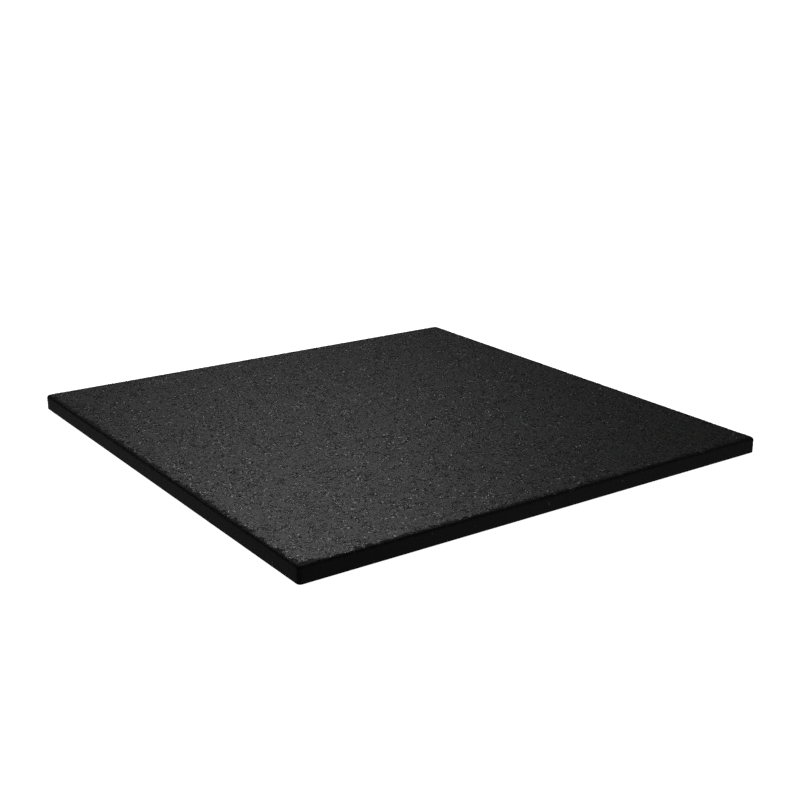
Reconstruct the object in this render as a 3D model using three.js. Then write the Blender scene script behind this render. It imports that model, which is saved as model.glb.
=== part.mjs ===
// A rubber gym floor tile: one square slab of pressed rubber crumb, lying flat.
// Units are millimetres, with +Z up and the origin at the middle of the underside.
// The tile was pressed in a mould as one piece, so it is one solid. Its corners are
// rounded in plan, its walking surface rolls into the sides, and its underside ends
// in a small arris.

import * as THREE from "three";

// Driving dimensions
const LENGTH = 1000; // along X
const WIDTH = 1000; // along Y
const THICKNESS = 30;
const SURFACE_CORNER_RADIUS = 2; // of the flat walking surface, in plan
const TOP_EDGE_RADIUS = 5; // between the walking surface and the sides
const BOTTOM_EDGE_RADIUS = 1; // between the underside and the sides

// How finely the round stretches are cut
const CORNER_STEPS = 10;
const TOP_EDGE_STEPS = 7;
const BOTTOM_EDGE_STEPS = 3;

// The finish: charcoal black, matt
const RUBBER_COLOUR = 0x2a2a2b;
const RUBBER_ROUGHNESS = 0.82;

// The sides' corners go round the walking surface's corners, one edge radius further out.
const SIDE_CORNER_RADIUS = SURFACE_CORNER_RADIUS + TOP_EDGE_RADIUS;

// The tile's outline in plan, drawn in from the sides by an inset, anticlockwise from above.
function outline(inset) {
  const x = LENGTH / 2 - inset;
  const y = WIDTH / 2 - inset;
  const r = SIDE_CORNER_RADIUS - inset;
  const shape = new THREE.Shape();
  shape.moveTo(x, -y + r);
  shape.lineTo(x, y - r);
  shape.absarc(x - r, y - r, r, 0, Math.PI / 2);
  shape.lineTo(-x + r, y);
  shape.absarc(-x + r, y - r, r, Math.PI / 2, Math.PI);
  shape.lineTo(-x, -y + r);
  shape.absarc(-x + r, -y + r, r, Math.PI, 1.5 * Math.PI);
  shape.lineTo(x - r, -y);
  shape.absarc(x - r, -y + r, r, 1.5 * Math.PI, 2 * Math.PI);
  // getPoints cuts an arc into twice its argument, and the last arc ends on the first point.
  return shape.getPoints(CORNER_STEPS / 2).slice(0, -1);
}

// The section through an edge, from the underside up, as [inset, height] pairs.
function edgeSection() {
  const section = [];
  for (let i = 0; i <= BOTTOM_EDGE_STEPS; i++) {
    const turn = (i / BOTTOM_EDGE_STEPS) * (Math.PI / 2);
    section.push([
      BOTTOM_EDGE_RADIUS * (1 - Math.sin(turn)),
      BOTTOM_EDGE_RADIUS * (1 - Math.cos(turn)),
    ]);
  }
  for (let i = 0; i <= TOP_EDGE_STEPS; i++) {
    const turn = (i / TOP_EDGE_STEPS) * (Math.PI / 2);
    section.push([
      TOP_EDGE_RADIUS * (1 - Math.cos(turn)),
      THICKNESS - TOP_EDGE_RADIUS * (1 - Math.sin(turn)),
    ]);
  }
  return section;
}

// The slab: one outline for each step of the section, skinned together and capped.
function slabGeometry() {
  const section = edgeSection();
  const rings = section.map(([inset]) => outline(inset));
  const around = rings[0].length;
  const vertices = [];
  rings.forEach((ring, level) =>
    ring.forEach((point) => vertices.push(point.x, point.y, section[level][1])),
  );

  const faces = [];
  for (let level = 0; level + 1 < rings.length; level++) {
    const low = level * around;
    const high = low + around;
    for (let i = 0; i < around; i++) {
      const next = (i + 1) % around;
      faces.push(low + i, low + next, high + next);
      faces.push(low + i, high + next, high + i);
    }
  }
  const top = (rings.length - 1) * around;
  for (const [a, b, c] of THREE.ShapeUtils.triangulateShape(rings[0], [])) {
    faces.push(c, b, a);
  }
  for (const [a, b, c] of THREE.ShapeUtils.triangulateShape(rings.at(-1), [])) {
    faces.push(top + a, top + b, top + c);
  }

  const geometry = new THREE.BufferGeometry();
  geometry.setAttribute("position", new THREE.Float32BufferAttribute(vertices, 3));
  geometry.setIndex(faces);
  geometry.computeVertexNormals();
  return geometry;
}

const rubber = new THREE.MeshStandardMaterial({
  color: RUBBER_COLOUR,
  roughness: RUBBER_ROUGHNESS,
  metalness: 0,
});

const slab = new THREE.Mesh(slabGeometry(), rubber);
slab.name = "rubber_slab";

const tile = new THREE.Group();
tile.add(slab);

export default tile;
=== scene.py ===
import math

import bmesh
import bpy
import numpy as np
from bpy.props import (
    FloatProperty,
    FloatVectorProperty,
    IntProperty,
    PointerProperty,
)
from mathutils import Matrix, Vector
from mathutils.noise import noise as noise_at


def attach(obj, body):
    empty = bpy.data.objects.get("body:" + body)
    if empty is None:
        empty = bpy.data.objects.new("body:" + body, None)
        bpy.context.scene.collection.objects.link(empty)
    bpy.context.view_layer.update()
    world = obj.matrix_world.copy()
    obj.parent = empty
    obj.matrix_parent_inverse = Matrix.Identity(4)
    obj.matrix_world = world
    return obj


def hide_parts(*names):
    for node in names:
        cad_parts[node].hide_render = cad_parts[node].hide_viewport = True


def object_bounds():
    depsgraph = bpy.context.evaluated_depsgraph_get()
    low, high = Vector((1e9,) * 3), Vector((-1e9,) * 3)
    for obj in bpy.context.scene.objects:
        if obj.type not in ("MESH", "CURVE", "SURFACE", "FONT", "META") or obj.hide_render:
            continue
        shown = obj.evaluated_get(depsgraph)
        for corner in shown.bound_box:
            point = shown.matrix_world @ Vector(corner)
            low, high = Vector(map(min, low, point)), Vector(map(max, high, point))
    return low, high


bl_info = {
    "name": "Rubber Gym Floor Tile",
    "version": (1, 0, 0),
    "blender": (4, 5, 0),
    "location": "3D View > Sidebar > Floor Tile",
    "description": "Builds a gym floor tile of pressed rubber crumb and its studio",
    "category": "Add Mesh",
}

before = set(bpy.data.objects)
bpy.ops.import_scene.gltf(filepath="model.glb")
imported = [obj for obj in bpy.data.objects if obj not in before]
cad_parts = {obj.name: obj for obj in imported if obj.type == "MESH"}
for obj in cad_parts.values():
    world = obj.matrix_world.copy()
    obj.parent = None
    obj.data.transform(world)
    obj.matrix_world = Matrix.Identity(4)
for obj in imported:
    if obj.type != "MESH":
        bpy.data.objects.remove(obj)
CAD_LOW, CAD_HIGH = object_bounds()
HALF_SIZE = (CAD_HIGH - CAD_LOW) / 2
HALF_PLAN = np.array(HALF_SIZE)[:2]

MM = 0.001
TILE_BODY = "root"
TILE_SOLID = "rubber_slab"
CRUMB_RUBBER = "crumb_rubber"
TONE = "crumb_tone"
STIR = "crumb_stir"


# Settings


class SlabSettings(bpy.types.PropertyGroup):
    """Sizes of the pressed slab"""

    corner_radius: FloatProperty(
        name="Corner radius",
        description="Radius of the slab's four corners, seen from above",
        default=7 * MM,
        min=2 * MM,
        max=40 * MM,
        unit="LENGTH",
    )
    top_edge_radius: FloatProperty(
        name="Top edge radius",
        description="Radius between the walking surface and the sides",
        default=5 * MM,
        min=1 * MM,
        max=15 * MM,
        unit="LENGTH",
    )
    bottom_edge_radius: FloatProperty(
        name="Bottom edge radius",
        description="Radius between the underside and the sides",
        default=1 * MM,
        min=0.2 * MM,
        max=5 * MM,
        unit="LENGTH",
    )
    binder_depth: FloatProperty(
        name="Binder depth",
        description="How far the binder between the crumbs lies below their faces",
        default=0.55 * MM,
        min=0.1 * MM,
        max=3 * MM,
        unit="LENGTH",
    )
    shoulder_inset: FloatProperty(
        name="Shoulder inset",
        description="How far inside the sides the walking surface's open grain ends",
        default=9 * MM,
        min=0,
        max=30 * MM,
        unit="LENGTH",
    )
    shoulder_radius: FloatProperty(
        name="Shoulder radius",
        description="Radius in which the open grain's border runs round each corner",
        default=22 * MM,
        min=0,
        max=80 * MM,
        unit="LENGTH",
    )
    corner_droop: FloatProperty(
        name="Corner droop",
        description="How far the walking surface falls away at the tip of a corner",
        default=1.2 * MM,
        min=0,
        max=8 * MM,
        unit="LENGTH",
    )
    droop_reach: FloatProperty(
        name="Droop reach",
        description="How far from its tip a corner begins to fall away",
        default=15 * MM,
        min=5 * MM,
        max=80 * MM,
        unit="LENGTH",
    )


class CrumbSettings(bpy.types.PropertyGroup):
    """Sizes of the rubber crumbs"""

    pitch: FloatProperty(
        name="Spacing",
        description="Mean distance from one crumb to the next",
        default=3.1 * MM,
        min=3 * MM,
        max=10 * MM,
        unit="LENGTH",
    )
    fullness: FloatProperty(
        name="Fullness",
        description="Mean width of a crumb as a share of the spacing",
        default=1.08,
        min=0.5,
        max=1.5,
        subtype="FACTOR",
    )
    tilt: FloatProperty(
        name="Tilt",
        description="How much the crumbs of the walking surface lean",
        default=math.radians(4),
        min=0,
        max=math.radians(30),
        subtype="ANGLE",
    )
    unevenness: FloatProperty(
        name="Unevenness",
        description="How much lower than the mould's face a crumb may lie",
        default=0.3 * MM,
        min=0,
        max=2 * MM,
        unit="LENGTH",
    )
    clump: FloatProperty(
        name="Clump",
        description="Distance from a patch of lively crumbs to a patch of flat ones",
        default=17 * MM,
        min=5 * MM,
        max=100 * MM,
        unit="LENGTH",
    )
    side_flatness: FloatProperty(
        name="Side flatness",
        description="How much flatter than the walking surface the sides are pressed",
        default=0.8,
        min=0,
        max=1,
        subtype="FACTOR",
    )
    seed: IntProperty(
        name="Seed",
        description="Another number scatters the crumbs in another way",
        default=30,
        min=0,
    )


class RubberSettings(bpy.types.PropertyGroup):
    """Colours and sheen of the rubber"""

    dark: FloatVectorProperty(
        name="Dark crumb",
        description="Colour of the darkest crumbs",
        default=(0.0085, 0.0085, 0.0088),
        min=0,
        max=1,
        size=3,
        subtype="COLOR",
    )
    cool: FloatVectorProperty(
        name="Cool crumb",
        description="Colour of the palest crumbs where they are a little blue",
        default=(0.033, 0.0365, 0.0435),
        min=0,
        max=1,
        size=3,
        subtype="COLOR",
    )
    warm: FloatVectorProperty(
        name="Warm crumb",
        description="Colour of the palest crumbs where they are a little olive",
        default=(0.042, 0.04, 0.0345),
        min=0,
        max=1,
        size=3,
        subtype="COLOR",
    )
    roughness: FloatProperty(
        name="Roughness",
        description="Mean roughness of the crumbs' faces",
        default=0.49,
        min=0.2,
        max=1,
        subtype="FACTOR",
    )
    skin_roughness: FloatProperty(
        name="Skin roughness",
        description="Roughness of the skin on the rolled edge and the sides",
        default=0.65,
        min=0.2,
        max=1,
        subtype="FACTOR",
    )
    skin_gloss: FloatProperty(
        name="Skin gloss",
        description="Specular level of the skin on the rolled edge and the sides",
        default=0.15,
        min=0,
        max=1,
        subtype="FACTOR",
    )
    grain: FloatProperty(
        name="Grain",
        description="Width of the finest crumbs, which only the finish shows",
        default=2.4 * MM,
        min=0.5 * MM,
        max=10 * MM,
        unit="LENGTH",
    )
    grain_lean: FloatProperty(
        name="Grain lean",
        description="How much the finest crumbs lean, as a slope",
        default=0.055,
        min=0,
        max=1,
        subtype="FACTOR",
    )


class StudioSettings(bpy.types.PropertyGroup):
    """Floor, lamps and camera of the studio"""

    floor_width: FloatProperty(
        name="Floor width",
        description="Width of the plain floor",
        default=80,
        min=5,
        unit="LENGTH",
    )
    floor_colour: FloatVectorProperty(
        name="Floor colour",
        description="Colour of the plain floor",
        default=(1, 1, 1),
        min=0,
        max=1,
        size=3,
        subtype="COLOR",
    )
    floor_glow: FloatProperty(
        name="Floor glow",
        description="How brightly the floor shines on the tile's sides",
        default=0.211,
        min=0,
        max=1,
    )
    air_glow: FloatProperty(
        name="Air glow",
        description="How brightly the room above the floor shines on the tile",
        default=0.005,
        min=0,
        max=1,
    )
    key_power: FloatProperty(
        name="Key lamp",
        description="Power of the lamp behind the tile, which gives most of the light",
        default=25.6,
        min=0,
        unit="POWER",
    )
    fill_power: FloatProperty(
        name="Fill lamps",
        description="Power of each of the two lamps that light the tile from right and left",
        default=7.5,
        min=0,
        unit="POWER",
    )
    left_bounce_power: FloatProperty(
        name="Left bounce lamp",
        description="Power of the low lamp that lights the left side, as light off the floor",
        default=0.65,
        min=0,
        unit="POWER",
    )
    front_bounce_power: FloatProperty(
        name="Front bounce lamp",
        description="Power of the low lamp that lights the front side, as light off the floor",
        default=0.8,
        min=0,
        unit="POWER",
    )
    lens: FloatProperty(
        name="Lens",
        description="Focal length on a sensor 36 mm wide",
        default=57.839,
        min=10,
        max=300,
        subtype="DISTANCE_CAMERA",
    )


class TileSettings(bpy.types.PropertyGroup):
    """Everything that a user may change on the tile and its studio"""

    slab: PointerProperty(type=SlabSettings)
    crumbs: PointerProperty(type=CrumbSettings)
    rubber: PointerProperty(type=RubberSettings)
    studio: PointerProperty(type=StudioSettings)


# Materials

# The border of the open grain wanders in waves and steps from crumb to crumb
BORDER_WAVE_WIDTH = 12 * MM
BORDER_WAVE_REACH = 14 * MM
BORDER_STEP = 3 * MM
BORDER_SOFTNESS = 0.3 * MM
# How strong the grain is past that border. The same share darkens the crumbs' colour there, painted
# shade on the rolled edge and the sides
FAINTEST_GRAIN_AND_PAINTED_SHADE = 0.2
# How much of the shade comes from the crumbs that are modelled, not from the finest ones
CRUMB_SHARE = 0.6
# Wide clouds change a crumb's shade and patches change its tint. Lively crumbs are painted paler, a
# painted lift against the darker look that their lean and gaps give them
CLOUD_WIDTH = 90 * MM
CLOUD_RANGE = (0.75, 1.25)
STIR_PAINTED_LIFT_RANGE = (0.75, 1.05)
TINT_WIDTH = 25 * MM
TINT_FROM = 0.35
TINT_CONTRAST = 3.3
# Torn grain and the seams between the finest crumbs make up the relief
TEAR_WIDTH = 1.2 * MM
TEAR_SHARE = 0.6
TEAR_ROUGHNESS = 0.05
SEAM_SHARE = 0.35
SEAM_SLOPE = 6.0
# Crumbs that are pale and lively enough shine, and so are less rough
GLOSSY_FROM = 1.2
GLOSS = 0.19


class Wire:
    """An output socket of a node tree, on which Python's own operators add Math nodes"""

    def __init__(self, tree, socket=None):
        self.tree = tree
        self.socket = socket

    def node(self, kind, settings, values, output=0):
        """Adds a node, first its settings, then its sockets' values and links"""
        made = self.tree.nodes.new(kind)
        for name, value in settings.items():
            setattr(made, name, value)
        for key, value in values.items():
            socket = self.socket_in_use(made.inputs, key)
            if isinstance(value, Wire):
                self.tree.links.new(value.socket, socket)
            else:
                socket.default_value = value
        return Wire(self.tree, self.socket_in_use(made.outputs, output))

    @staticmethod
    def socket_in_use(sockets, key):
        """The socket of this number, or the one of this name that the settings leave in use"""
        if isinstance(key, int):
            return sockets[key]
        return next(socket for socket in sockets if socket.enabled and socket.name == key)

    def maths(self, operation, first, second=0.0):
        return self.node("ShaderNodeMath", {"operation": operation}, {0: first, 1: second})

    def __add__(self, other):
        return self.maths("ADD", self, other)

    __radd__ = __add__

    def __sub__(self, other):
        return self.maths("SUBTRACT", self, other)

    def __rsub__(self, other):
        return self.maths("SUBTRACT", other, self)

    def __mul__(self, other):
        return self.maths("MULTIPLY", self, other)

    __rmul__ = __mul__


def rgba(colour):
    return (*colour, 1)


def between(low, high, share):
    """From low to high as a share goes from 0 to 1, and further if it does"""
    return share * (high - low) + low


def blank_material(name):
    """A new material with only its output, and a wire to add nodes from"""
    material = bpy.data.materials.new(name)
    material.use_nodes = True
    tree = material.node_tree
    tree.nodes.clear()
    output = tree.nodes.new("ShaderNodeOutputMaterial")
    return material, Wire(tree), output


def noise(wire, place, grain, detail, roughness=0.5):
    """Noise from 0 to 1 whose patches are about grain metres across"""
    values = {"Vector": place, "Scale": 1 / grain, "Detail": detail, "Roughness": roughness}
    return wire.node("ShaderNodeTexNoise", {}, values)


def cells(wire, place, grain, output, feature="F1"):
    """Irregular cells about grain metres across"""
    values = {"Vector": place, "Scale": 1 / grain}
    return wire.node("ShaderNodeTexVoronoi", {"feature": feature}, values, output)


def mixed(wire, share, first, second):
    """A colour between two, by a share from 0 to 1. The second may itself be mixed."""
    settings = {"data_type": "RGBA", "clamp_factor": True}
    second = second if isinstance(second, Wire) else rgba(second)
    values = {"Factor": share, "A": rgba(first), "B": second}
    return wire.node("ShaderNodeMix", settings, values, "Result")


def vector_maths(wire, operation, *vectors):
    return wire.node("ShaderNodeVectorMath", {"operation": operation}, dict(enumerate(vectors)))


def shoulder_share(wire, place, tone, slab):
    """1 on the walking surface and 0 on the rolled edge and the sides, with a ragged border
    that runs from crumb to crumb, and round each corner in a wider curve than the side does"""
    past = []
    for axis, reach in (("X", HALF_SIZE.x), ("Y", HALF_SIZE.y)):
        run = wire.node("ShaderNodeSeparateXYZ", {}, {"Vector": place}, axis)
        run = wire.maths("ABSOLUTE", run)
        past.append(wire.maths("MAXIMUM", run - (reach - slab.shoulder_radius), 0.0))
    out = wire.maths("SQRT", past[0] * past[0] + past[1] * past[1])
    waves = noise(wire, place, BORDER_WAVE_WIDTH, detail=1.0)
    waves = between(-BORDER_WAVE_REACH, BORDER_WAVE_REACH, waves)
    ragged = waves + between(-BORDER_STEP, BORDER_STEP, tone)
    inside = slab.shoulder_radius - slab.shoulder_inset - out + ragged
    ends = {"Value": inside, "From Min": -BORDER_SOFTNESS, "From Max": BORDER_SOFTNESS}
    return wire.node("ShaderNodeMapRange", {}, ends)


def crumb_colour(wire, place, tone, stir, fine_crumb, strength, rubber):
    """A shade of its own for each crumb, from dark to pale, with the pale end a little blue in
    some patches and a little olive in others. Lively crumbs get a painted lift against the
    shading of their lean, and past the shoulder a low strength darkens the colour as painted shade"""
    fine_tone = wire.node("ShaderNodeSeparateColor", {}, {"Color": fine_crumb}, "Red")
    own_shade = tone * CRUMB_SHARE + fine_tone * (1 - CRUMB_SHARE)
    cloud = between(*CLOUD_RANGE, noise(wire, place, CLOUD_WIDTH, detail=3.0))
    painted_lift_where_lively = between(*STIR_PAINTED_LIFT_RANGE, stir)
    # Painted light: lively crumbs are lifted paler, and a low strength darkens the rolled edge and
    # the sides as painted shade
    shade = own_shade * cloud * painted_lift_where_lively * strength
    tint = (noise(wire, place, TINT_WIDTH, detail=1.0) - TINT_FROM) * TINT_CONTRAST
    palest = mixed(wire, tint, rubber.cool, rubber.warm)
    return mixed(wire, shade, rubber.dark, palest)


def crumb_normal(wire, place, torn, fine_crumb, strength, rubber):
    """The face's own way, leaned a little on each of the finest crumbs, with torn grain and
    the seams between those crumbs as a bump"""
    facing = wire.node("ShaderNodeNewGeometry", {}, {}, "Normal")
    lean = rubber.grain_lean
    leaning = vector_maths(wire, "MULTIPLY_ADD", fine_crumb, (2 * lean,) * 3, (-lean,) * 3)
    scaled = {0: leaning, "Scale": strength}
    leaning = wire.node("ShaderNodeVectorMath", {"operation": "SCALE"}, scaled)
    facing = vector_maths(wire, "NORMALIZE", vector_maths(wire, "ADD", facing, leaning))
    gap = cells(wire, place, rubber.grain, "Distance", "DISTANCE_TO_EDGE")
    seam = wire.maths("MINIMUM", gap * SEAM_SLOPE, 1.0)
    relief = {
        "Strength": 0.2,
        "Distance": 0.25 * MM,
        "Height": (torn * TEAR_SHARE + seam * SEAM_SHARE) * strength,
        "Normal": facing,
    }
    return wire.node("ShaderNodeBump", {}, relief)


def crumb_rubber(name, rubber, slab):
    """Black crumb rubber: each crumb has its own shade, tint and lean, over torn grain. Past
    the shoulder the mould pressed it flatter, so its grain is fainter and duller, and its
    colour is darkened there as painted shade."""
    material, wire, output = blank_material(name)
    place = wire.node("ShaderNodeTexCoord", {}, {}, "Object")
    tone = wire.node("ShaderNodeAttribute", {"attribute_name": TONE}, {}, "Fac")
    stir = wire.node("ShaderNodeAttribute", {"attribute_name": STIR}, {}, "Fac")
    walked = shoulder_share(wire, place, tone, slab)
    # Past the shoulder this strength flattens the grain and also darkens the colour: painted shade
    strength = between(FAINTEST_GRAIN_AND_PAINTED_SHADE, 1, walked)
    fine_crumb = cells(wire, place, rubber.grain, "Color")
    torn = noise(wire, place, TEAR_WIDTH, detail=3.0, roughness=0.6)
    glossy = wire.maths("GREATER_THAN", tone * stir, GLOSSY_FROM)
    colour = crumb_colour(wire, place, tone, stir, fine_crumb, strength, rubber)
    normal = crumb_normal(wire, place, torn, fine_crumb, strength * stir, rubber)
    uneven = between(-TEAR_ROUGHNESS, TEAR_ROUGHNESS, torn)
    open_grain = {
        "Base Color": colour,
        "Roughness": rubber.roughness + uneven - glossy * GLOSS,
        "Normal": normal,
    }
    skin = {
        "Base Color": colour,
        "Roughness": rubber.skin_roughness,
        "Specular IOR Level": rubber.skin_gloss,
        "Normal": normal,
    }
    skin_shader = wire.node("ShaderNodeBsdfPrincipled", {}, skin)
    grain_shader = wire.node("ShaderNodeBsdfPrincipled", {}, open_grain)
    parts = {0: walked, 1: skin_shader, 2: grain_shader}
    shader = wire.node("ShaderNodeMixShader", {}, parts)
    wire.tree.links.new(shader.socket, output.inputs["Surface"])
    return material


def pale_floor(studio):
    """A plain pale floor, which the lamps and its own glow light to white"""
    material, wire, output = blank_material("pale_floor")
    values = {
        "Base Color": rgba(studio.floor_colour),
        "Roughness": 1.0,
        "Specular IOR Level": 0.0,
        "Emission Color": rgba(studio.floor_colour),
        "Emission Strength": 1.0,
    }
    shader = wire.node("ShaderNodeBsdfPrincipled", {}, values)
    wire.tree.links.new(shader.socket, output.inputs["Surface"])
    return material


def studio_air(studio):
    """White behind everything, while the tile gets only a dim glow from the floor and the room"""
    world = bpy.data.worlds.new("studio_air")
    world.use_nodes = True
    world.cycles.sampling_method = "NONE"
    wire = Wire(world.node_tree)
    seen = wire.node("ShaderNodeLightPath", {}, {}, "Is Camera Ray")
    way = wire.node("ShaderNodeTexCoord", {}, {}, "Generated")
    rise = wire.node("ShaderNodeSeparateXYZ", {}, {"Vector": way}, "Z")
    below = wire.maths("LESS_THAN", rise, 0.0)
    glow = below * studio.floor_glow + (1 - below) * studio.air_glow
    strength = seen + (1 - seen) * glow
    backdrop = wire.node("ShaderNodeBackground", {}, {"Color": (1, 1, 1, 1), "Strength": strength})
    wire.tree.links.new(backdrop.socket, wire.tree.nodes["World Output"].inputs["Surface"])
    return world


# Shared making steps


def keep_piece(name, mesh, material):
    """Puts a finished mesh into the scene as a piece of the tile"""
    mesh.materials.append(material)
    piece = bpy.data.objects.new(name, mesh)
    bpy.context.collection.objects.link(piece)
    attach(piece, TILE_BODY)
    return piece


def finished_mesh(name, bm):
    """The mesh of a bmesh, which isn't needed any more"""
    mesh = bpy.data.meshes.new(name)
    bm.to_mesh(mesh)
    bm.free()
    return mesh


def edges_where(bm, test):
    """The edges whose two ends both pass a test of their places"""
    return [edge for edge in bm.edges if all(test(vertex.co) for vertex in edge.verts)]


def drooped(places, slab):
    """Places after the tile's top has fallen away a little towards the tip of each corner"""
    lowered = np.array(places, float)
    from_tip = np.hypot(HALF_SIZE.x - abs(lowered[:, 0]), HALF_SIZE.y - abs(lowered[:, 1]))
    fall = slab.corner_droop * np.clip(1 - from_tip / slab.droop_reach, 0, None) ** 2
    lowered[:, 2] *= 1 - fall / CAD_HIGH.z
    return lowered


# The slab

CORNER_SEGMENTS = 8
TOP_EDGE_SEGMENTS = 6
BOTTOM_EDGE_SEGMENTS = 3
DROOP_CUTS = 10
SAME_HEIGHT = 0.1 * MM
SHARP_ANGLE = math.radians(40)


def slab_block(low, high):
    """A plain block from its lowest to its highest corner"""
    bm = bmesh.new()
    bmesh.ops.create_cube(bm, size=1)
    bmesh.ops.scale(bm, vec=high - low, verts=bm.verts)
    bmesh.ops.translate(bm, vec=(low + high) / 2, verts=bm.verts)
    return bm


def round_edges(bm, edges, radius, segments):
    """Rounds these edges to a radius, in even segments"""
    bmesh.ops.bevel(
        bm,
        geom=edges,
        offset=radius,
        offset_type="OFFSET",
        segments=segments,
        profile=0.5,
        affect="EDGES",
        material=-1,
    )


def cut_corners_finely(bm, reach):
    """Cuts the block across near its corners, so that they can droop in a smooth curve"""
    for normal, side in ((Vector((1, 0, 0)), HALF_SIZE.x), (Vector((0, 1, 0)), HALF_SIZE.y)):
        for step in range(1, DROOP_CUTS + 1):
            for sign in (-1, 1):
                bmesh.ops.bisect_plane(
                    bm,
                    geom=[*bm.verts, *bm.edges, *bm.faces],
                    plane_co=normal * sign * (side - reach * step / DROOP_CUTS),
                    plane_no=normal,
                )


class TILE_OT_press_slab(bpy.types.Operator):
    """Press the slab's binder, a little inside the mould's faces"""

    bl_idname = "floor_tile.press_slab"
    bl_label = "Press Slab"

    def execute(self, context):
        tile = context.scene.floor_tile
        slab = tile.slab
        depth = slab.binder_depth
        side_depth = depth * (1 - tile.crumbs.side_flatness)
        low = CAD_LOW + Vector((side_depth, side_depth, 0))
        high = CAD_HIGH - Vector((side_depth, side_depth, depth))
        bm = slab_block(low, high)
        upright = [e for e in bm.edges if abs(e.verts[0].co.z - e.verts[1].co.z) > SAME_HEIGHT]
        round_edges(bm, upright, slab.corner_radius - side_depth, CORNER_SEGMENTS)
        top = edges_where(bm, lambda place: place.z > high.z - SAME_HEIGHT)
        round_edges(bm, top, slab.top_edge_radius - depth, TOP_EDGE_SEGMENTS)
        bottom = edges_where(bm, lambda place: place.z < low.z + SAME_HEIGHT)
        round_edges(bm, bottom, slab.bottom_edge_radius, BOTTOM_EDGE_SEGMENTS)
        cut_corners_finely(bm, slab.droop_reach)
        for vertex, place in zip(bm.verts, drooped([v.co for v in bm.verts], slab)):
            vertex.co = place
        mesh = finished_mesh("pressed_slab", bm)
        mesh.shade_smooth()
        mesh.set_sharp_from_angle(angle=SHARP_ANGLE)
        piece = keep_piece("pressed_slab", mesh, crumb_rubber(CRUMB_RUBBER, tile.rubber, slab))
        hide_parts(TILE_SOLID)
        return {"FINISHED"}


# The crumbs

# The shares of the crumbs whose broken face has 3, 4 or 5 corners
CORNER_SHARES = {3: 0.2, 4: 0.5, 5: 0.3}
# Each crumb draws a share from these for its width, its stretch, the reach of each corner of
# its face, and its drop out of the unevenness
WIDTH_RANGE = (0.75, 1.3)
STRETCH_RANGE = (0.78, 1.22)
RIM_RANGE = (0.8, 1.2)
DROP_RANGE = (-0.25, 1)
# A crumb is deeper the wider it is, up to a limit
DEPTH_SHARE = 0.6
DEEPEST = 2 * MM
# Calm crumbs are pressed wider than lively ones
CALM_WIDTH = 1.4
WIDTH_LOST_TO_STIR = 0.1
WIDEST = 1.35
# How lively the crumbs are on average, and how much wide and narrow patches change it
MEAN_STIR = 1.2
WIDE_SWELL = 3
NARROW_SWELL = 2.4
NARROWER_TIMES = 3
STIR_RANGE = (0.2, 2.8)
# Seats stand in a triangular pattern and stray from it, in shares of the spacing
ROW_GAP = math.sqrt(3) / 2
JITTER = 0.33
LOWEST_SEAT = 0.4
# Crumbs whose face looks up less than this are pressed as flat as the sides
SIDE_BELOW = 0.2
# Other numbers as uneven as these would scatter the tones as well
TONE_STEP = 12.9898
TONE_START = 4.1414
TONE_SWING = 43758.5453


def crumb_shape(corners):
    """One crumb of unit width and depth: a broken face at height 0 over a point"""
    bm = bmesh.new()
    bmesh.ops.create_cone(
        bm,
        cap_ends=True,
        cap_tris=False,
        segments=corners,
        radius1=0.02,
        radius2=0.5,
        depth=1,
    )
    low = [vertex for vertex in bm.verts if vertex.co.z < 0]
    bmesh.ops.pointmerge(bm, verts=low, merge_co=(0, 0, -0.5))
    bmesh.ops.translate(bm, vec=(0, 0, -0.5), verts=bm.verts)
    bmesh.ops.recalc_face_normals(bm, faces=bm.faces)
    bm.verts.index_update()
    places = np.array([vertex.co for vertex in bm.verts])
    faces = [[vertex.index for vertex in face.verts] for face in bm.faces]
    bm.free()
    return places, faces


def scattered(shape, stir, crumbs, rng):
    """Crumbs of one shape, each with its own width, stretch, turn, lean and drop. Gives how
    far each corner lies from the crumb's seat: along the mould's face, across it and outward."""
    count = len(stir)
    rim = shape[:, 2] > -0.5
    spread = np.minimum(CALM_WIDTH - WIDTH_LOST_TO_STIR * stir, WIDEST)
    width = crumbs.pitch * crumbs.fullness * spread * rng.uniform(*WIDTH_RANGE, (count, 1))
    stretch = rng.uniform(*STRETCH_RANGE, (count, 1))
    ragged = np.where(rim, rng.uniform(*RIM_RANGE, (count, len(shape))), 1)
    turn = rng.uniform(0, 2 * math.pi, (count, 1))
    x = shape[:, 0] * width * stretch * ragged
    y = shape[:, 1] * width / stretch * ragged
    lean = np.tan(rng.normal(0, crumbs.tilt, (2, count, 1))) * stir
    depth = np.minimum(width * DEPTH_SHARE, DEEPEST)
    drop = rng.uniform(*DROP_RANGE, (count, 1)) * crumbs.unevenness * stir
    z = shape[:, 2] * depth + rim * (lean[0] * x + lean[1] * y) - drop
    return x * np.cos(turn) - y * np.sin(turn), x * np.sin(turn) + y * np.cos(turn), z


def seated(offsets, seats, outward, along):
    """The corners' places, from how far each lies from its crumb's seat"""
    placed = seats[:, None, :]
    for offset, way in zip(offsets, (along, np.cross(outward, along), outward)):
        placed = placed + way[:, None, :] * offset[:, :, None]
    return placed.reshape(-1, 3)


def pressed(places, slab):
    """Places pushed back inside the mould, whose top falls away at the corners"""
    mould_low = np.array(CAD_LOW) + np.array((0, 0, slab.bottom_edge_radius))
    return drooped(np.clip(places, mould_low, np.array(CAD_HIGH)), slab)


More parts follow.
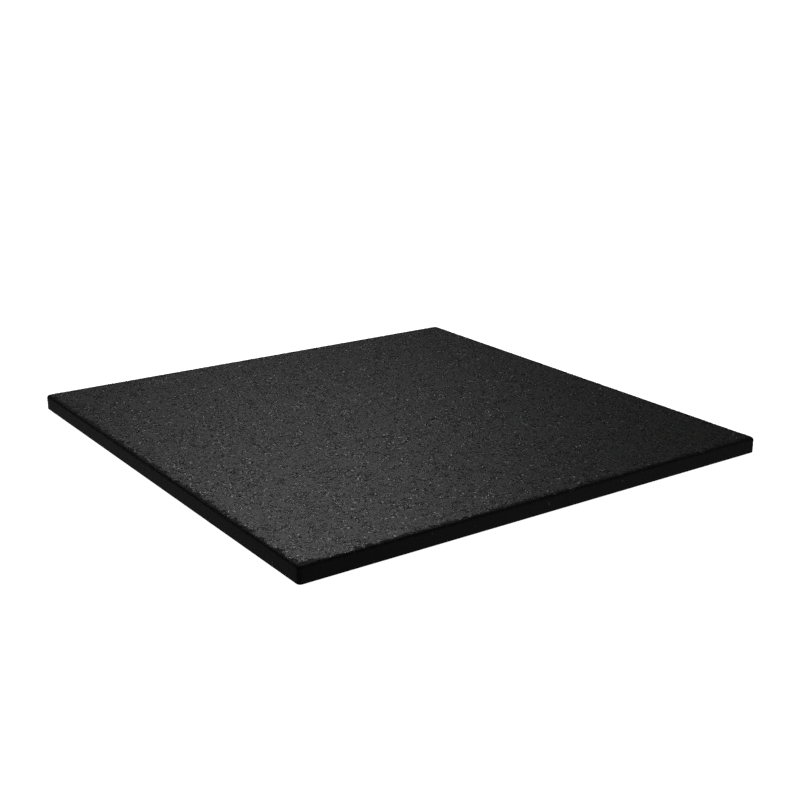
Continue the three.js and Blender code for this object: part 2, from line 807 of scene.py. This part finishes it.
def joined_crumbs(name, seats, outward, along, flatness, tile, rng):
    """One mesh of many crumbs. Each has a seat on the mould's face, the way outward there
    and a way along the face, and no crumb passes the mould."""
    places = []
    faces = []
    tones = []
    stirs = []
    start = 0
    kinds = rng.choice(list(CORNER_SHARES), len(seats), p=list(CORNER_SHARES.values()))
    for corners in CORNER_SHARES:
        chosen = np.flatnonzero(kinds == corners)
        shape, shape_faces = crumb_shape(corners)
        stir = (1 - flatness[chosen][:, None]) * clumps(seats[chosen], tile.crumbs.clump)
        offsets = scattered(shape, stir, tile.crumbs, rng)
        placed = seated(offsets, seats[chosen], outward[chosen], along[chosen])
        places.append(pressed(placed, tile.slab))
        firsts = start + np.arange(len(chosen))[:, None] * len(shape)
        for face in shape_faces:
            faces.extend((firsts + np.array(face)).tolist())
            tones.append(fixed_tones(chosen))
            stirs.append(stir[:, 0])
        start += len(chosen) * len(shape)
    mesh = bpy.data.meshes.new(name)
    mesh.from_pydata(np.concatenate(places), [], faces)
    for attribute, values in ((TONE, tones), (STIR, stirs)):
        kept = mesh.attributes.new(attribute, "FLOAT", "FACE")
        kept.data.foreach_set("value", np.concatenate(values).astype(np.float32))
    return mesh


def clumps(places, spacing):
    """How lively the crumbs are at these places. Wide patches are broken up by narrow ones."""
    swell = []
    for place in places:
        wide = Vector(place) / spacing
        narrow = wide * NARROWER_TIMES
        swell.append(MEAN_STIR + WIDE_SWELL * noise_at(wide) + NARROW_SWELL * noise_at(narrow))
    return np.clip(swell, *STIR_RANGE)[:, None]


def fixed_tones(numbers):
    """A tone from 0 to 1 for each crumb, always the same for the same number"""
    return np.sin(numbers * TONE_STEP + TONE_START) * TONE_SWING % 1


def staggered(place, row):
    """A crumb's place in its row, in spacings. Every other row starts half a spacing later."""
    return place + 0.25 + 0.5 * (row % 2)


def jitter(crumbs, count, rng):
    """How far each crumb strays from its place in the pattern, one way"""
    return rng.uniform(-JITTER, JITTER, count) * crumbs.pitch


def walking_seats(crumbs, half, rng):
    """Jittered places in staggered rows over the flat walking surface"""
    rows = round(2 * half.y / (crumbs.pitch * ROW_GAP))
    columns = round(2 * half.x / crumbs.pitch)
    row, column = np.mgrid[0:rows, 0:columns]
    x = staggered(column, row) / columns * 2 * half.x - half.x
    y = (row + 0.5) / rows * 2 * half.y - half.y
    x = x + jitter(crumbs, x.shape, rng)
    y = y + jitter(crumbs, y.shape, rng)
    return np.stack([x.ravel(), y.ravel()], axis=1)


def down_the_edge(drop, slab):
    """For places this far over the roll and down the side: how much they have turned from
    the top, how far they lie inside the side and how high"""
    radius = slab.top_edge_radius
    turned = np.minimum(drop / radius, math.pi / 2)
    inset = radius * (1 - np.sin(turned))
    below_roll = np.maximum(drop - radius * math.pi / 2, 0)
    height = CAD_HIGH.z - radius * (1 - np.cos(turned)) - below_roll
    return turned, inset, height


def along_side(run, out, way, straight, corner_radius):
    """For places this far along a side and round the corner at its end: a place behind each,
    one corner radius in, the way each faces and the way along the side there"""
    turned = np.clip(run - straight, 0, None) / corner_radius
    facing = np.cos(turned)[:, None] * out + np.sin(turned)[:, None] * way
    heading = -np.sin(turned)[:, None] * out + np.cos(turned)[:, None] * way
    reach = np.minimum(run, straight) - straight / 2
    behind = out * (abs(out @ HALF_PLAN) - corner_radius) + way * reach[:, None]
    return behind, facing, heading


def edge_seats(slab, crumbs, rng):
    """Places, outward ways and ways along for crumbs on the rolled edge and the sides, in
    rows from the top down that run round the tile"""
    roll = slab.top_edge_radius * math.pi / 2
    girth = CAD_HIGH.z - slab.top_edge_radius - slab.bottom_edge_radius + roll
    corner = slab.corner_radius
    rows = round(girth / (crumbs.pitch * ROW_GAP))
    seats = []
    outward = []
    along = []
    for row in range(rows):
        down = (row + 0.5) / rows * girth
        for out in np.array([(1, 0), (0, 1), (-1, 0), (0, -1)]):
            way = np.array((-out[1], out[0]))
            straight = 2 * (abs(way @ HALF_PLAN) - corner)
            length = straight + corner * math.pi / 2
            count = round(length / crumbs.pitch)
            run = staggered(np.arange(count), row) / count * length
            run = run + jitter(crumbs, count, rng)
            drop = down + jitter(crumbs, count, rng)
            drop = np.clip(drop, 0, girth - LOWEST_SEAT * crumbs.pitch)
            turned, inset, height = down_the_edge(drop, slab)
            behind, facing, heading = along_side(run, out, way, straight, corner)
            plan = behind + facing * (corner - inset)[:, None]
            seats.append(np.column_stack([plan, height]))
            level = np.sin(turned)[:, None] * facing
            outward.append(np.column_stack([level, np.cos(turned)]))
            along.append(np.column_stack([heading, np.zeros(count)]))
    return np.concatenate(seats), np.concatenate(outward), np.concatenate(along)


class TILE_OT_set_walking_crumbs(bpy.types.Operator):
    """Set the crumbs of the walking surface, in four quarters"""

    bl_idname = "floor_tile.set_walking_crumbs"
    bl_label = "Set Walking Surface Crumbs"

    def execute(self, context):
        tile = context.scene.floor_tile
        rng = np.random.default_rng(tile.crumbs.seed)
        inset = tile.slab.top_edge_radius
        plan = walking_seats(tile.crumbs, HALF_SIZE - Vector((inset, inset, 0)), rng)
        material = bpy.data.materials[CRUMB_RUBBER]
        for end, behind in (("front", False), ("back", True)):
            for hand, beyond in (("left", False), ("right", True)):
                quarter = plan[((plan[:, 1] > 0) == behind) & ((plan[:, 0] > 0) == beyond)]
                count = len(quarter)
                seats = np.column_stack([quarter, np.full(count, CAD_HIGH.z)])
                outward = np.tile((0.0, 0.0, 1.0), (count, 1))
                along = np.tile((1.0, 0.0, 0.0), (count, 1))
                flatness = np.zeros(count)
                name = f"walking_crumbs_{end}_{hand}"
                mesh = joined_crumbs(name, seats, outward, along, flatness, tile, rng)
                keep_piece(name, mesh, material)
        return {"FINISHED"}


class TILE_OT_set_edge_crumbs(bpy.types.Operator):
    """Set the crumbs of the rolled edge and the four sides"""

    bl_idname = "floor_tile.set_edge_crumbs"
    bl_label = "Set Edge Crumbs"

    def execute(self, context):
        tile = context.scene.floor_tile
        rng = np.random.default_rng(tile.crumbs.seed + 1)
        seats, outward, along = edge_seats(tile.slab, tile.crumbs, rng)
        flatness = tile.crumbs.side_flatness * (outward[:, 2] < SIDE_BELOW)
        mesh = joined_crumbs("edge_crumbs", seats, outward, along, flatness, tile, rng)
        keep_piece("edge_crumbs", mesh, bpy.data.materials[CRUMB_RUBBER])
        return {"FINISHED"}


# The studio


def camera_place(azimuth, elevation, distance, roll, target):
    """Where a camera stands that looks at a target, from angles round it and a roll"""
    azimuth, elevation, roll = map(math.radians, (azimuth, elevation, roll))
    level = math.cos(elevation)
    back = Vector((math.sin(azimuth) * level, -math.cos(azimuth) * level, math.sin(elevation)))
    right = (-back).cross(Vector((0, 0, 1))).normalized()
    up = right.cross(-back)
    rolled_right = math.cos(roll) * right + math.sin(roll) * up
    rolled_up = math.cos(roll) * up - math.sin(roll) * right
    turn = Matrix((rolled_right, rolled_up, back)).transposed().to_4x4()
    return Matrix.Translation(target + back * distance) @ turn


def area_lamp(name, power, bearing, elevation, distance, width):
    """A soft square lamp that faces the tile's middle. Bearing 0 is behind the tile."""
    lamp = bpy.data.lights.new(name, "AREA")
    lamp.shape = "SQUARE"
    lamp.size = width
    lamp.energy = power
    stand = bpy.data.objects.new(name, lamp)
    bearing, elevation = map(math.radians, (bearing, elevation))
    level = math.cos(elevation)
    way = Vector((math.sin(bearing) * level, math.cos(bearing) * level, math.sin(elevation)))
    stand.location = way * distance
    stand.rotation_euler = way.to_track_quat("Z", "Y").to_euler()
    bpy.context.collection.objects.link(stand)


class TILE_OT_light_studio(bpy.types.Operator):
    """Lay the floor, hang the lamps and stand the camera"""

    bl_idname = "floor_tile.light_studio"
    bl_label = "Light Studio"

    def execute(self, context):
        studio = context.scene.floor_tile.studio
        bm = bmesh.new()
        bmesh.ops.create_grid(bm, x_segments=1, y_segments=1, size=studio.floor_width / 2)
        floor = bpy.data.objects.new("floor", finished_mesh("floor", bm))
        floor.data.materials.append(pale_floor(studio))
        floor.visible_diffuse = False
        floor.visible_glossy = False
        floor.visible_shadow = False
        context.collection.objects.link(floor)
        far = {"distance": 3.0, "width": 1.2}
        near = {"distance": 1.5, "width": 0.8}
        area_lamp("key_lamp", studio.key_power, bearing=24, elevation=51, **far)
        area_lamp("right_fill_lamp", studio.fill_power, bearing=135, elevation=45, **far)
        area_lamp("left_fill_lamp", studio.fill_power, bearing=-45, elevation=45, **far)
        area_lamp("left_bounce_lamp", studio.left_bounce_power, bearing=-35, elevation=-25, **near)
        area_lamp("front_bounce_lamp", studio.front_bounce_power, bearing=150, elevation=-25, **near)
        context.scene.world = studio_air(studio)
        context.scene.view_settings.view_transform = "Standard"
        context.scene.cycles.use_denoising = False
        camera = bpy.data.objects.new("camera", bpy.data.cameras.new("camera"))
        camera.data.sensor_width = 36
        camera.data.lens = studio.lens
        camera.matrix_world = camera_place(
            azimuth=-35.507,
            elevation=17.855,
            distance=2.7163,
            roll=0.398,
            target=Vector((0.1338, 0.1374, 0)),
        )
        context.collection.objects.link(camera)
        context.scene.camera = camera
        return {"FINISHED"}


# The panel


class TILE_PT_panel(bpy.types.Panel):
    """The tile's steps, in order, with their settings"""

    bl_idname = "TILE_PT_panel"
    bl_label = "Rubber Gym Floor Tile"
    bl_space_type = "VIEW_3D"
    bl_region_type = "UI"
    bl_category = "Floor Tile"

    def draw(self, context):
        tile = context.scene.floor_tile
        for operator in OPERATORS:
            self.layout.operator(operator.bl_idname)
        for settings in (tile.slab, tile.crumbs, tile.rubber, tile.studio):
            box = self.layout.box()
            for name in settings.__annotations__:
                box.prop(settings, name)


SETTINGS = (SlabSettings, CrumbSettings, RubberSettings, StudioSettings, TileSettings)
OPERATORS = (
    TILE_OT_press_slab,
    TILE_OT_set_walking_crumbs,
    TILE_OT_set_edge_crumbs,
    TILE_OT_light_studio,
)


def register():
    for kind in (*SETTINGS, *OPERATORS, TILE_PT_panel):
        bpy.utils.register_class(kind)
    bpy.types.Scene.floor_tile = PointerProperty(type=TileSettings)


def unregister():
    del bpy.types.Scene.floor_tile
    for kind in reversed((*SETTINGS, *OPERATORS, TILE_PT_panel)):
        bpy.utils.unregister_class(kind)


def main():
    register()
    bpy.ops.floor_tile.press_slab()
    bpy.ops.floor_tile.set_walking_crumbs()
    bpy.ops.floor_tile.set_edge_crumbs()
    bpy.ops.floor_tile.light_studio()


if __name__ == "__main__":
    main()
